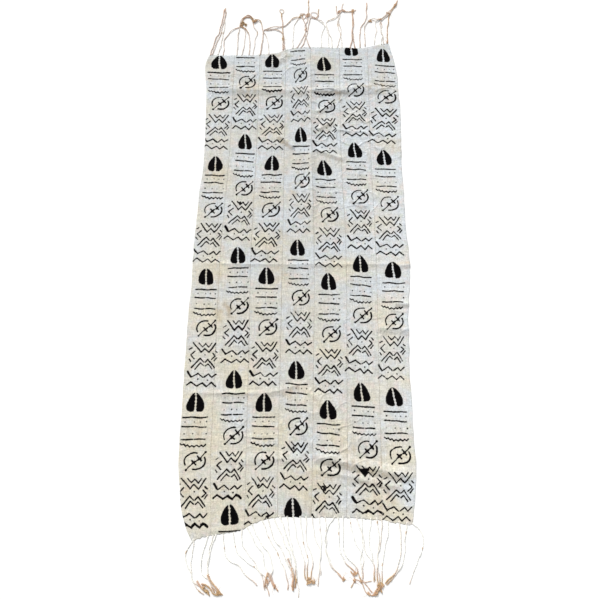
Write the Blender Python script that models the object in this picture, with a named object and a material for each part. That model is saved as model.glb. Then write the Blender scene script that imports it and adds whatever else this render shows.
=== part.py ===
# A bogolan mud cloth lying on a floor: seven woven strips sewn edge to edge, with loose warp ends.
# Metres, +Z up, X across the strips, Y along them. The tables are plan places in millimetres.
import bpy
import numpy as np

MM = 0.001
STRIP_COUNT = 7
CLOTH_THICKNESS = 0.0018
SEAM_GAP = 0.00032
COLUMNS_PER_STRIP = 5
ROWS = 78
HEM_RUN_OUT = 0.035
BACKING_GAP = 0.00036
BACKING_WIDTH = 0.005
STRAND_WIDTH = 0.0022
STRAND_STEPS = 8
ELBOW_SPACING = 0.0056
TIP_SPACING = 0.0044
TIP_STAGGER = (0.0, 0.011, 0.004, 0.016, 0.007)

# y, then x of the six seams at that y
SEAM_ROWS = (
    (-900, -274, -169, -66, 39, 149, 262),
    (-690, -285, -171, -68, 43, 155, 265),
    (-420, -286, -173, -67, 45, 157, 264),
    (40, -284, -176, -66, 46, 158, 264),
    (430, -268, -169, -66, 36, 144, 254),
    (860, -266, -167, -66, 30, 142, 252),
)
# y, x of the left selvedge
LEFT_EDGE = (
    (-926, -333), (-879, -357), (-823, -373), (-757, -382), (-700, -388), (-600, -390),
    (-500, -388), (-400, -388), (-290, -387), (-200, -386), (-90, -380), (0, -381), (90, -380),
    (170, -375), (240, -373), (320, -365), (420, -362), (530, -364), (670, -368), (796, -373),
    (823, -364),
)
# y, x of the right selvedge
RIGHT_EDGE = (
    (-873, 356), (-813, 366), (-756, 372), (-711, 376), (-636, 373), (-551, 370), (-474, 370),
    (-415, 366), (-355, 367), (-266, 370), (-204, 369), (-112, 377), (-25, 381), (41, 379),
    (109, 373), (208, 372), (279, 370), (350, 366), (423, 367), (509, 369), (585, 370),
    (658, 365), (736, 362), (816, 349), (884, 333),
)
# x, y of the last weft thread at the foot end and at the head end
FOOT_HEM = (
    (-345, -927), (-275, -909), (-230, -901), (-181, -892), (-144, -874), (-97, -858), (-47, -852),
    (4, -852), (92, -853), (152, -853), (221, -856), (274, -860), (303, -866), (360, -873),
)
HEAD_HEM = (
    (-374, 822), (-280, 821), (-160, 826), (-100, 835), (-55, 852), (0, 860), (148, 859), (249, 862),
    (293, 874), (349, 884),
)
# name, x and y at each end of the fold, sideways bow of its middle, height, half of its width
FOLDS = (
    ("head wave", -372, 677, 367, 686, -16, 6, 30),
    ("head wave crest", 12, 668, 192, 666, -2, 5, 20),
    ("seam tuck", 30, 842, 40, 90, 0, 6, 22),
    ("hem step", -48, 842, -138, 764, 6, 5, 22),
    ("small pucker", -94, 482, -26, 423, 0, 5, 20),
    ("right pucker", 46, 575, 120, 607, 0, 4, 20),
    ("lower right pucker", 54, 499, 116, 539, 0, 4, 20),
    ("slant pucker", 34, 426, 162, 379, 0, 4, 20),
    ("short pucker", 168, 225, 238, 192, 0, 4, 18),
    ("middle crease", -386, -23, 382, -18, -3, 3, 18),
    ("foot crease", -392, -471, -96, -469, 0, 3, 18),
    ("foot crease end", -142, -473, 8, -434, -5, 4, 20),
    ("foot slant", -6, -562, 62, -668, 0, 6, 22),
    ("foot fold", 22, -662, 380, -733, 2, 9, 30),
    ("under fold", 16, -703, 374, -772, 2, 4, 22),
    ("right slant", 38, -457, 136, -591, 4, 5, 22),
    ("edge crease", 318, -162, 381, -162, 0, 5, 18),
    ("edge fold", 252, -249, 374, -254, 3, 7, 24),
    ("left swell", -266, -686, 24, -675, 2, 3, 24),
)
# name, x of the first and the last root, strands, x and y of the elbow, x and y of the tip
FOOT_FRINGE = (
    ("corner knot", -329, -254, 5, -303, -992, -256, -1072),
    ("long sweep", -236, -190, 4, -196, -986, -116, -1062),
    ("forked", -171, -150, 3, -108, -972, -70, -1055),
    ("thick tip", -128, -60, 5, -48, -975, -12, -1078),
    ("middle", -40, 28, 5, 12, -968, 27, -1064),
    ("middle pair", 46, 66, 2, 68, -968, 62, -1046),
    ("short sweep", 84, 104, 3, 98, -978, 138, -1036),
    ("right knot", 124, 200, 5, 172, -972, 180, -1047),
    ("broad knot", 226, 334, 6, 262, -990, 254, -1067),
    ("outer strand", 349, 349, 1, 445, -958, 340, -1044),
)
HEAD_FRINGE = (
    ("corner", -356, -314, 3, -324, 950, -308, 1042),
    ("looped clump", -302, -172, 7, -226, 914, -208, 982),
    ("low arch", -158, -126, 3, -140, 902, -116, 958),
    ("dark pair", -86, -66, 2, -82, 930, -86, 1022),
    ("tangle", -42, 30, 5, -2, 935, 16, 1072),
    ("slanting", 68, 104, 3, 84, 936, 104, 990),
    ("twisted", 122, 150, 3, 142, 940, 134, 1052),
    ("thick", 178, 202, 3, 192, 940, 194, 1032),
    ("thin pair", 222, 242, 2, 226, 940, 250, 1072),
    ("long clump", 262, 324, 5, 292, 962, 366, 1076),
)


def through(table, at):
    # a smooth line through the table's pairs, read at other places; it runs on level past its ends
    knots, values = np.array(sorted(table), float).T * MM
    slopes = np.gradient(values, knots)
    low = np.clip(np.searchsorted(knots, at) - 1, 0, len(knots) - 2)
    span = knots[low + 1] - knots[low]
    s = np.clip((at - knots[low]) / span, 0, 1)
    start = values[low] * (1 + 2 * s) * (1 - s) ** 2 + slopes[low] * span * s * (1 - s) ** 2
    return start + values[low + 1] * s * s * (3 - 2 * s) - slopes[low + 1] * span * s * s * (1 - s)


def line_across(number, y):
    # x of the left selvedge, a seam or the right selvedge at each y
    if number == 0:
        return through(LEFT_EDGE, y)
    if number == STRIP_COUNT:
        return through(RIGHT_EDGE, y)
    return through([(row[0], row[number]) for row in SEAM_ROWS], y)


def plan_place(strip, share, along):
    # the plan place at a share of a strip's width and a share of the cloth's length, foot to head;
    # x and y lean on each other, so three rounds settle both
    y = -0.9 + 1.75 * along
    for _ in range(3):
        x = line_across(strip, y) * (1 - share) + line_across(strip + 1, y) * share
        y = through(FOOT_HEM, x) * (1 - along) + through(HEAD_HEM, x) * along
    return x, y


def fold_height(x, y):
    # each fold is a smooth ridge over a bowed line, and it runs out towards both of its ends;
    # where folds cross, their heights join as the sides of a right angle do
    height = np.zeros_like(x)
    for _, x0, y0, x1, y1, bow, rise, half in FOLDS:
        start = np.array((x0, y0)) * MM
        run = np.array((x1, y1)) * MM - start
        length = np.hypot(*run)
        ahead = ((x - start[0]) * run[0] + (y - start[1]) * run[1]) / length**2
        aside = ((y - start[1]) * run[0] - (x - start[0]) * run[1]) / length
        aside = aside - bow * MM * 4 * ahead * (1 - ahead)
        ridge = np.clip(1 - (aside / (half * MM)) ** 2, 0, 1) ** 2
        ends = np.clip(np.minimum(ahead, 1 - ahead) / 0.16, 0, 1)
        height = np.hypot(height, rise * MM * ridge * ends * ends * (3 - 2 * ends))
    return height


def lying_height(x, y, along):
    # the folds go flat just before each end of the cloth
    near_end = np.clip(np.minimum(along, 1 - along) / HEM_RUN_OUT, 0, 1)
    return fold_height(x, y) * near_end * near_end * (3 - 2 * near_end)


def closed_sheet(lower, upper):
    # two matching grids of places joined by a rim, as one closed body facing out
    rows, columns = lower.shape[:2]
    number = np.arange(rows * columns).reshape(rows, columns)
    a, b = number[:-1, :-1].ravel(), number[:-1, 1:].ravel()
    c, d = number[1:, 1:].ravel(), number[1:, :-1].ravel()
    over = rows * columns
    top = np.concatenate([np.stack([a, b, c], 1), np.stack([a, c, d], 1)]) + over
    under = np.concatenate([np.stack([a, c, b], 1), np.stack([a, d, c], 1)])
    loop = np.concatenate([number[0, :-1], number[:-1, -1], number[-1, :0:-1], number[:0:-1, 0]])
    after = np.roll(loop, -1)
    rim = np.concatenate([
        np.stack([loop, after, after + over], 1),
        np.stack([loop, after + over, loop + over], 1),
    ])
    places = np.concatenate([lower.reshape(-1, 3), upper.reshape(-1, 3)])
    return places, np.concatenate([top, under, rim])


def make_material(name, colour, roughness):
    material = bpy.data.materials.new(name)
    material.use_nodes = True
    shader = material.node_tree.nodes["Principled BSDF"]
    shader.inputs["Base Color"].default_value = (*colour, 1)
    shader.inputs["Roughness"].default_value = roughness
    return material


def add_mesh(name, places, faces, material, collection):
    mesh = bpy.data.meshes.new(name)
    mesh.from_pydata(places.tolist(), [], faces.tolist())
    mesh.materials.append(material)
    piece = bpy.data.objects.new(name, mesh)
    collection.objects.link(piece)
    return piece


def add_strip(strip, material, collection):
    # one woven strip: its underside lies at the height of the folds and its top one thickness above
    share = np.linspace(0, 1, COLUMNS_PER_STRIP + 1)[None, :]
    along = np.linspace(0, 1, ROWS + 1)[:, None] * np.ones_like(share)
    x, y = plan_place(strip, share * np.ones_like(along), along)
    z = lying_height(x, y, along)
    if strip > 0:
        x[:, 0] += SEAM_GAP / 2
    if strip < STRIP_COUNT - 1:
        x[:, -1] -= SEAM_GAP / 2
    lower = np.stack([x, y, z], 2)
    upper = np.stack([x, y, z + CLOTH_THICKNESS], 2)
    places, faces = closed_sheet(lower, upper)
    return add_mesh(f"strip_{strip + 1}", places, faces, material, collection)


def hem_line(along):
    # the end line of the cloth from the left selvedge to the right, with a corner at each column
    share = np.linspace(0, 1, COLUMNS_PER_STRIP + 1)
    places = [
        np.stack(plan_place(strip, share, np.full_like(share, along)), 1)
        for strip in range(STRIP_COUNT)
    ]
    return np.concatenate([places[0]] + [part[1:] for part in places[1:]])


def strand_middle(root, elbow, tip, outward):
    # a strand leaves the cloth squarely, turns at the elbow and ends at the tip
    reach = np.hypot(*(elbow - root))
    square = root + np.array((0, outward * 0.5 * reach))
    t = np.linspace(0, 1, STRAND_STEPS + 1)[:, None]
    return (
        root * (1 - t) ** 3 + square * 3 * t * (1 - t) ** 2
        + elbow * 3 * t * t * (1 - t) + tip * t**3
    )


def strand_sides(middle):
    # the two sides of a strand, half its width to the left and to the right of its way
    way = np.gradient(middle, axis=0)
    way /= np.hypot(way[:, 0], way[:, 1])[:, None]
    left = np.stack([-way[:, 1], way[:, 0]], 1) * STRAND_WIDTH / 2
    return middle + left, middle - left


def cluster_strands(cluster, edge_at, outward):
    # a cluster's strands draw together at its elbow and keep a little apart up to their tips
    _, first, last, count, elbow_x, elbow_y, tip_x, tip_y = cluster
    elbow, tip = np.array((elbow_x, elbow_y)) * MM, np.array((tip_x, tip_y)) * MM
    way = (tip - elbow) / np.hypot(*(tip - elbow))
    aside = np.array((way[1], -way[0])) * outward
    strands = []
    for number, x in enumerate(np.linspace(first, last, count) * MM):
        place = number - (count - 1) / 2
        root = np.array((x, edge_at(x) - outward * BACKING_WIDTH / 3))
        bend = elbow + aside * place * ELBOW_SPACING
        end = tip + aside * place * TIP_SPACING - way * TIP_STAGGER[number % len(TIP_STAGGER)]
        strands.append(strand_middle(root, bend, end, outward))
    return strands


def comb_outline(clusters, along, outward):
    # a narrow strip along the hem, with every strand standing out from its far side
    inner = hem_line(along)
    inner = inner + np.array((0, outward * BACKING_GAP))
    inner[0, 0] += STRAND_WIDTH
    inner[-1, 0] -= STRAND_WIDTH
    outer = inner + np.array((0, outward * BACKING_WIDTH))

    def edge_at(x):
        return np.interp(x, outer[:, 0], outer[:, 1])

    strands = [s for cluster in clusters for s in cluster_strands(cluster, edge_at, outward)]
    outline = [tuple(place) for place in inner]
    corners = [tuple(place) for place in outer[::-1]]
    for middle in reversed(strands):
        left, right = strand_sides(middle)
        first, second = (left, right) if outward < 0 else (right, left)
        first[0, 1] = edge_at(first[0, 0])
        second[0, 1] = edge_at(second[0, 0])
        while corners and corners[0][0] > first[0, 0]:
            outline.append(corners.pop(0))
        outline += [tuple(place) for place in first] + [tuple(place) for place in second[::-1]]
        corners = [place for place in corners if place[0] < second[0, 0]]
    return outline + corners


def add_fringe(name, clusters, along, outward, material, collection):
    outline = comb_outline(clusters, along, outward)
    curve = bpy.data.curves.new(name, "CURVE")
    curve.dimensions = "2D"
    curve.fill_mode = "BOTH"
    curve.extrude = CLOTH_THICKNESS / 2
    line = curve.splines.new("POLY")
    line.points.add(len(outline) - 1)
    for point, (x, y) in zip(line.points, outline):
        point.co = (x, y, 0, 1)
    line.use_cyclic_u = True
    curve.materials.append(material)
    piece = bpy.data.objects.new(name, curve)
    piece.location.z = CLOTH_THICKNESS / 2
    collection.objects.link(piece)
    return piece


def build():
    for old in list(bpy.data.objects):
        bpy.data.objects.remove(old)
    collection = bpy.data.collections.new("bogolan_mud_cloth")
    bpy.context.scene.collection.children.link(collection)
    woven = make_material("woven_cotton", (0.66, 0.64, 0.58), 0.9)
    loose = make_material("loose_warp", (0.75, 0.66, 0.55), 0.9)
    for strip in range(STRIP_COUNT):
        add_strip(strip, woven, collection)
    add_fringe("fringe_bottom", FOOT_FRINGE, 0.0, -1, loose, collection)
    add_fringe("fringe_top", HEAD_FRINGE, 1.0, 1, loose, collection)


build()
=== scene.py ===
import bpy
import numpy as np
from mathutils import Matrix, Vector


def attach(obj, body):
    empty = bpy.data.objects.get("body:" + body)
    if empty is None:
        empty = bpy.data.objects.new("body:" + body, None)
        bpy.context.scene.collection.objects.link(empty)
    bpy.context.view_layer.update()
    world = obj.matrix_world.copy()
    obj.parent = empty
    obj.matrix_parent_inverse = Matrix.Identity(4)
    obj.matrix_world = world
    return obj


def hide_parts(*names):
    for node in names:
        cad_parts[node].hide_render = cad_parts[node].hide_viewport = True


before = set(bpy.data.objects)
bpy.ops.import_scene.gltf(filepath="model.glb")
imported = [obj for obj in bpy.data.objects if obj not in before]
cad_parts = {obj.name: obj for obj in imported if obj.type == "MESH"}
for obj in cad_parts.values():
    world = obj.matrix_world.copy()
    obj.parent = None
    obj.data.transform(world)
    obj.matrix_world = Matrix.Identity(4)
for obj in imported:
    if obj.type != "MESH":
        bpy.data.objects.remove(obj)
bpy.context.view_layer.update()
mm = 0.001

# the lie of the cloth, from the same sizes as its solids
clothPlan = {
    "stripCount": 7,
    # y, then x of the six seams at that y
    "seamRows": (
        (-900, -274, -169, -66, 39, 149, 262),
        (-690, -285, -171, -68, 43, 155, 265),
        (-420, -286, -173, -67, 45, 157, 264),
        (40, -284, -176, -66, 46, 158, 264),
        (430, -268, -169, -66, 36, 144, 254),
        (860, -266, -167, -66, 30, 142, 252),
    ),
    # y, x of each selvedge
    "leftEdge": (
        (-926, -333), (-879, -357), (-823, -373), (-757, -382), (-700, -388), (-600, -390),
        (-500, -388), (-400, -388), (-290, -387), (-200, -386), (-90, -380), (0, -381),
        (90, -380), (170, -375), (240, -373), (320, -365), (420, -362), (530, -364),
        (670, -368), (796, -373), (823, -364),
    ),
    "rightEdge": (
        (-873, 356), (-813, 366), (-756, 372), (-711, 376), (-636, 373), (-551, 370),
        (-474, 370), (-415, 366), (-355, 367), (-266, 370), (-204, 369), (-112, 377),
        (-25, 381), (41, 379), (109, 373), (208, 372), (279, 370), (350, 366), (423, 367),
        (509, 369), (585, 370), (658, 365), (736, 362), (816, 349), (884, 333),
    ),
    # x, y of the last weft thread at each end
    "footHem": (
        (-345, -927), (-275, -909), (-230, -901), (-181, -892), (-144, -874), (-97, -858),
        (-47, -852), (4, -852), (92, -853), (152, -853), (221, -856), (274, -860),
        (303, -866), (360, -873),
    ),
    "headHem": (
        (-374, 822), (-280, 821), (-160, 826), (-100, 835), (-55, 852), (0, 860), (148, 859),
        (249, 862), (293, 874), (349, 884),
    ),
    "hemRunOut": 0.035,
    "hemThinReach": 0.0035,
}

# x and y at each end of the fold, sideways bow of its middle, height, half width, how sharp its crest
# is, and the strength of the ochre painted shade beside it, on its foot side where that is above nought and else
# on its head side
folds = {
    "head wave": (-372, 677, 367, 686, -16, 6, 30, 0.3, -0.35),
    "head wave crest": (12, 668, 192, 666, -2, 7, 18, 0.7, 0.85),
    "seam tuck": (30, 842, 40, 90, 0, 6, 22, 0.6, 0.25),
    "hem step": (-48, 842, -138, 764, 6, 5, 22, 0.3, 0.35),
    "small pucker": (-94, 482, -26, 423, 0, 7, 20, 0.7, 0.9),
    "right pucker": (46, 575, 120, 607, 0, 5, 18, 0.7, 0.4),
    "lower right pucker": (54, 499, 116, 539, 0, 5, 18, 0.7, 0.4),
    "slant pucker": (34, 426, 162, 379, 0, 5, 18, 0.7, 0.35),
    "short pucker": (168, 225, 238, 192, 0, 4, 18, 0.5, 0.2),
    "middle crease": (-386, -23, 382, -18, -3, 3, 18, 0.9, 0.15),
    "middle crease end": (318, -30, 440, -12, 0, 5, 18, 0.6, -0.9),
    "foot crease": (-392, -471, -96, -469, 0, 3, 18, 0.9, 0.1),
    "foot crease end": (-142, -473, 8, -434, -5, 4, 20, 0.7, 0.2),
    "foot slant": (-6, -562, 62, -668, 0, 6, 22, 0.5, 0.3),
    "foot fold": (22, -662, 380, -733, 2, 9, 30, 0.4, 0.6),
    "under fold": (16, -703, 374, -772, 2, 4, 22, 0.5, 0.3),
    "right slant": (38, -457, 136, -591, 4, 5, 22, 0.5, 0.25),
    "edge crease": (318, -162, 381, -162, 0, 5, 18, 0.6, 0.5),
    "edge fold": (252, -249, 374, -254, 3, 7, 24, 0.4, -0.75),
    "left swell": (-266, -686, 24, -675, 2, 3, 24, 0.2, 0.1),
}


def through(table, at):
    # cubic Hermite line through the table's pairs, with slopes from the neighbours, level past its ends
    knots, values = np.array(sorted(table), float).T * mm
    slopes = np.gradient(values, knots)
    low = np.clip(np.searchsorted(knots, at) - 1, 0, len(knots) - 2)
    span = knots[low + 1] - knots[low]
    s = np.clip((at - knots[low]) / span, 0, 1)
    start = values[low] * (1 + 2 * s) * (1 - s) ** 2 + slopes[low] * span * s * (1 - s) ** 2
    return start + values[low + 1] * s * s * (3 - 2 * s) - slopes[low + 1] * span * s * s * (1 - s)


def lineAcross(number, y):
    # x of the left selvedge, of a seam or of the right selvedge at each y
    if number == 0:
        return through(clothPlan["leftEdge"], y)
    if number == clothPlan["stripCount"]:
        return through(clothPlan["rightEdge"], y)
    return through([(row[0], row[number]) for row in clothPlan["seamRows"]], y)


def planPlace(strip, share, along):
    # x is the mix of the strip's two lines by share, y the mix of the two hems by along, in three rounds
    y = -0.9 + 1.75 * along
    for _ in range(3):
        x = lineAcross(strip, y) * (1 - share) + lineAcross(strip + 1, y) * share
        y = through(clothPlan["footHem"], x) * (1 - along) + through(clothPlan["headHem"], x) * along
    return x, y


def easeIn(s):
    # the smooth step 3 s^2 - 2 s^3 over 0 to 1
    s = np.clip(s, 0, 1)
    return s * s * (3 - 2 * s)


def foldHeight(x, y):
    # along each bowed line a ridge (1 - q^2)^2, blended with the sharper (1 - q)^2, q the distance over
    # the half width; it runs out at both ends, and crossing folds join as the sides of a right angle
    height = np.zeros_like(x)
    for x0, y0, x1, y1, bow, rise, half, sharp, _ in folds.values():
        start = np.array((x0, y0)) * mm
        run = np.array((x1, y1)) * mm - start
        length = np.hypot(*run)
        ahead = ((x - start[0]) * run[0] + (y - start[1]) * run[1]) / length**2
        aside = ((y - start[1]) * run[0] - (x - start[0]) * run[1]) / length
        q = np.clip(np.abs(aside - bow * mm * 4 * ahead * (1 - ahead)) / (half * mm), 0, 1)
        ridge = (1 - q * q) ** 2 * (1 - sharp) + (1 - q) ** 2 * sharp
        height = np.hypot(height, rise * mm * ridge * easeIn(np.minimum(ahead, 1 - ahead) / 0.16))
    return height


def foldShade(x, y):
    # painted shade: ochre in a soft band exp(-d^2) beside each crest, of the strength that the fold's row gives
    side = np.zeros_like(x)
    for x0, y0, x1, y1, bow, rise, half, sharp, ochre in folds.values():
        facing = 1 if x1 > x0 else -1
        start, end = np.array([(x0, y0), (x1, y1)][::facing]) * mm
        run = end - start
        length = np.hypot(*run)
        ahead = ((x - start[0]) * run[0] + (y - start[1]) * run[1]) / length**2
        aside = ((y - start[1]) * run[0] - (x - start[0]) * run[1]) / length
        aside = (aside - bow * mm * 4 * ahead * (1 - ahead) * facing) / (half * mm)
        band = np.exp(-((aside + 0.45 * np.sign(ochre)) / 0.34) ** 2)
        side = np.maximum(side, abs(ochre) * band * easeIn(np.minimum(ahead, 1 - ahead) / 0.2))
    return side


def lyingHeight(x, y, along):
    # the folds go flat just before each end of the cloth
    return foldHeight(x, y) * easeIn(np.minimum(along, 1 - along) / clothPlan["hemRunOut"])


def hemThinning(along):
    # the cloth is beaten down towards its last thread: 1 less half of exp(-distance)
    return 1 - 0.5 * np.exp(-np.minimum(along, 1 - along) / clothPlan["hemThinReach"])


def noiseWaves(x, y, spacing, seed, count=14):
    # a smooth random field: the sum of sine waves in seeded directions, each about one spacing long
    draw = np.random.default_rng(seed)
    total = np.zeros_like(x)
    for turn, pace, shift in draw.uniform((0, 0.7, 0), (2 * np.pi, 1.45, 2 * np.pi), (count, 3)):
        wave = 2 * np.pi / spacing * pace
        total += np.sin(wave * (x * np.cos(turn) + y * np.sin(turn)) + shift)
    return total / np.sqrt(count / 2)


# the stamped repeat, charted on a strip 108 wide: x from its middle, y down from the mark's tip
mudRepeat = {
    "stripWidth": 108,
    # for each strip, a row for every time that the stamp was laid: y of its tip, how far it sits to one
    # side, its length against the chart, how far its foot runs aside, its width, and its tilt
    "places": (
        ((817, -4, 0.957, -6, 1.10, -0.045), (389, -3, 0.983, 2, 1.12, -0.02),
         (-42, 1, 0.981, 7, 1.10, -0.015), (-473, -7, 0.998, -9, 1.145, 0.015)),
        ((918, -12, 1.004, 12, 1.05, -0.01), (479, 7, 1.0, -7, 1.005, -0.055), (36, 7, 0.98, 3, 0.95, 0.03),
         (-397, 10, 0.975, -14, 0.935, 0.025), (-820, 5, 0.979, -1, 1.03, 0.04)),
        ((826, -3, 0.98, 4, 1.04, 0.0), (394, 9, 0.99, -19, 0.99, 0.02), (-37, 1, 0.982, -5, 1.0, 0.0),
         (-471, 2, 0.986, -11, 1.02, -0.01)),
        ((948, -11, 0.993, 22, 0.845, 0.10), (510, 11, 1.001, -11, 0.86, 0.04),
         (67, -4, 0.976, 9, 0.895, -0.01), (-363, -2, 0.983, -2, 0.93, -0.05), (-797, -6, 0.988, 0, 1.02, 0.02)),
        ((814, -6, 0.986, 0, 0.955, -0.01), (375, -11, 0.98, 6, 0.95, -0.03),
         (-56, -7, 0.991, 1, 0.93, -0.015), (-493, -8, 0.969, -2, 0.96, -0.07)),
        ((881, -10, 0.973, 10, 0.955, 0.0), (448, -5, 0.995, 2, 0.945, -0.025),
         (9, -3, 0.984, -12, 0.995, -0.08), (-435, -8, 0.979, 18, 0.985, -0.045)),
        ((854, 15, 0.977, -30, 1.02, -0.07), (419, -8, 0.979, 0, 0.975, -0.015),
         (-12, 0, 0.986, -12, 0.985, -0.01), (-449, -6, 0.993, 3, 1.04, -0.02)),
    ),
    # how far the parting of the cloven mark leans in each strip, and at a strip and repeat of its own
    "leans": (0.04, 0.06, 0.03, 0.06, 0.09, 0.10, 0.14),
    "otherLeans": {(1, 1): 0.22, (2, 2): 0.11, (4, 2): 0.16, (6, 1): 0.0, (7, 1): -0.06},
    # half of the cloven mark, from its tip round to the bottom, and the pale beaded line that parts it
    "lobe": (
        (0, -2), (4, -2), (9.5, 2), (15, 8.5), (20.3, 16), (24.3, 24.5), (27.2, 33), (28.1, 42), (26.8, 51),
        (22, 57), (15.5, 59.5), (8.5, 60), (3, 58.5), (0, 57),
    ),
    "partingHalf": 2.1,
    "strokeFullness": 1.08,
    # half width of the stroke, then the places it runs through
    "strokes": {
        "first line": (2.2, ((-34, 77), (-12, 76), (12, 78), (39, 76))),
        "second line left": (2.2, ((-34, 106), (-17, 107), (0, 107))),
        "second line right": (2.2, ((5, 106), (20, 107), (37, 108))),
        "third line left": (2.1, ((-33, 146), (-17, 147), (0, 146))),
        "third line right": (2.1, ((6, 146), (20, 145), (37, 146))),
        "scalloped line": (1.9, (
            (-36, 159), (-30, 164), (-25, 161), (-19, 168), (-13, 164), (-7, 171), (0, 166),
            (7, 171), (14, 165), (21, 170), (27, 164), (33, 169), (39, 163),
        )),
        "staff": (1.7, ((-15, 241), (-5, 232), (10, 217), (25, 203), (40, 189))),
        "staff bar low": (2.5, ((2, 213), (8, 219), (14, 226))),
        "staff bar low cross": (3.1, ((4, 223), (12, 215))),
        "staff bar high": (2.5, ((17, 198), (23, 205), (29, 212))),
        "staff bar high cross": (2.3, ((20, 210), (27, 204))),
        "outer fork": (2.1, ((-29, 268), (-16, 284), (-4, 300), (8, 286), (22, 300), (33, 284), (43, 268))),
        "inner fork": (1.9, ((-11, 267), (1, 280), (11, 268), (22, 281), (31, 267))),
        "left tick high": (2.0, ((-42, 290), (-34, 285))),
        "left arrow": (2.0, ((-24, 296), (-38, 309), (-25, 322))),
        "left tick low": (2.0, ((-42, 323), (-36, 331))),
        "right tick high": (2.0, ((42, 293), (48, 299))),
        "right arrow": (2.0, ((35, 303), (44, 312), (32, 323))),
        "right tick low": (2.0, ((48, 317), (40, 328))),
        "outer peak left": (2.1, ((-34, 352), (-19, 336), (-5, 321), (6, 332))),
        "outer peak right": (2.1, ((11, 332), (20, 322), (30, 336), (41, 352))),
        "inner peak left": (2.0, ((-22, 357), (-4, 336), (5, 344))),
        "inner peak right": (2.0, ((11, 346), (20, 338), (33, 356))),
        "first zigzag start": (3.0, ((-45, 366), (-40, 374), (-35, 381))),
        "first zigzag left": (2.1, ((-45, 366), (-33, 385), (-11, 372), (5, 385))),
        "first zigzag right": (2.1, ((10, 384), (24, 373), (34, 384), (47, 373))),
        "second zigzag": (2.2, (
            (-46, 411), (-34, 400), (-13, 414), (4, 402), (18, 415), (32, 401), (46, 413),
        )),
    },
    # middle x, middle y, half width, half height, first and last turn in degrees, half width of the stroke
    "hoops": {
        "hoop left": (10, 215, 31, 26, 80, 206, 2.3),
        "hoop right": (10, 215, 31, 26, -99, 27, 2.9),
    },
    # x, y, half size
    "dots": (
        (-26, 91, 2.3), (1, 91, 2.0), (19, 91, 2.3), (37, 91, 2.2), (-27, 129, 2.3), (-1, 130, 2.4),
        (16, 130, 2.2), (39, 129, 2.2), (-16, 242, 4.1), (41, 187, 3.9), (9, 308, 2.4),
        (-11, 391, 2.6), (20, 394, 2.6),
    ),
    # strip, repeat, stroke and how much thicker it ran there
    "heavyStrokes": {
        (1, 4, "second zigzag"): 1.35, (2, 4, "second zigzag"): 1.15, (6, 4, "second zigzag"): 1.15,
        (6, 4, "first zigzag start"): 1.4, (3, 3, "first zigzag start"): 1.3,
        (4, 3, "first zigzag start"): 1.4, (4, 2, "first zigzag start"): 1.3,
        (5, 1, "first zigzag start"): 1.5, (2, 2, "first zigzag start"): 1.5,
        (2, 4, "first zigzag start"): 1.3, (6, 2, "outer fork"): 1.3, (2, 3, "outer fork"): 1.2,
        (5, 1, "scalloped line"): 1.3, (3, 1, "scalloped line"): 1.25, (1, 1, "first line"): 1.3,
        (1, 1, "first zigzag left"): 1.3, (6, 4, "right tick low"): 1.5, (1, 4, "right tick high"): 1.3,
        (7, 1, "outer fork"): 1.2, (4, 1, "outer peak left"): 1.3, (2, 4, "outer peak left"): 1.1,
    },
    # strip, repeat, half width and places of the strokes that the mud made fuller on part of their way
    "fullerParts": (
        (1, 4, 3.9, ((-8, 410), (3, 404), (12, 411))), (1, 4, 4.8, ((26, 406), (34, 403), (46, 411))),
        (1, 4, 3.2, ((-42, 409), (-30, 406))), (2, 4, 3.9, ((0, 404), (12, 411), (18, 414))),
        (2, 4, 4.2, ((30, 403), (38, 406), (46, 412))), (6, 4, 3.9, ((-4, 410), (3, 404), (11, 409))),
        (6, 4, 3.8, ((32, 403), (40, 407), (47, 412))), (3, 3, 3.4, ((-47, 366), (-45, 369))),
        (5, 4, 2.7, ((40, 326), (46, 319))), (3, 4, 3.0, ((24, 387), (31, 381), (28, 391))),
        (3, 2, 3.9, ((-45, 362), (-44, 365))),
    ),
    # strip, repeat, how far the filling stays inside the corners, and the corners
    "fillings": (
        (6, 4, 0.0, ((-24, 273), (-12, 275), (0, 272), (11, 275), (5, 288), (-3, 300))),
        (4, 4, 2.6, ((-12, 284), (-4, 275), (3, 284), (-3, 298))),
        (5, 4, 2.3, ((-21, 274), (-8, 271), (3, 281), (-3, 298))),
        (3, 4, 1.2, ((-9, 290), (-3, 284), (2, 291), (-3, 298))),
        (6, 4, -1.0, ((-47, 363), (-40, 366), (-34, 376), (-36, 384))),
        (2, 2, 1.0, ((-8, 269), (0, 265), (8, 271), (0, 281))),
    ),
}


def strokeDepth(a, b, half, places):
    # how deep a place lies inside a stroke: half width less the least distance to its straight parts
    least = np.full_like(a, 99.0)
    for (x0, y0), (x1, y1) in zip(places[:-1], places[1:]):
        dx, dy = x1 - x0, y1 - y0
        t = np.clip(((a - x0) * dx + (b - y0) * dy) / (dx * dx + dy * dy), 0, 1)
        least = np.minimum(least, np.hypot(a - x0 - t * dx, b - y0 - t * dy))
    return half - least


def outlineDepth(a, b, places):
    # distance to a closed outline, positive inside by counting the sides that a ray to the right meets
    least, inside = np.full_like(a, 99.0), np.zeros(a.shape, bool)
    for (x0, y0), (x1, y1) in zip(places, places[1:] + places[:1]):
        dx, dy = x1 - x0, y1 - y0
        t = np.clip(((a - x0) * dx + (b - y0) * dy) / max(dx * dx + dy * dy, 1e-9), 0, 1)
        least = np.minimum(least, np.hypot(a - x0 - t * dx, b - y0 - t * dy))
        if y0 != y1:
            inside ^= ((y0 > b) != (y1 > b)) & (a < x0 + (b - y0) * dx / dy)
    return np.where(inside, least, -least)


def hoopPlaces(x, y, wide, high, first, last):
    # places round an ellipse, x + wide cos t and y - high sin t
    t = np.radians(np.linspace(first, last, 15))
    return list(zip(x + wide * np.cos(t), y - high * np.sin(t)))


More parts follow.
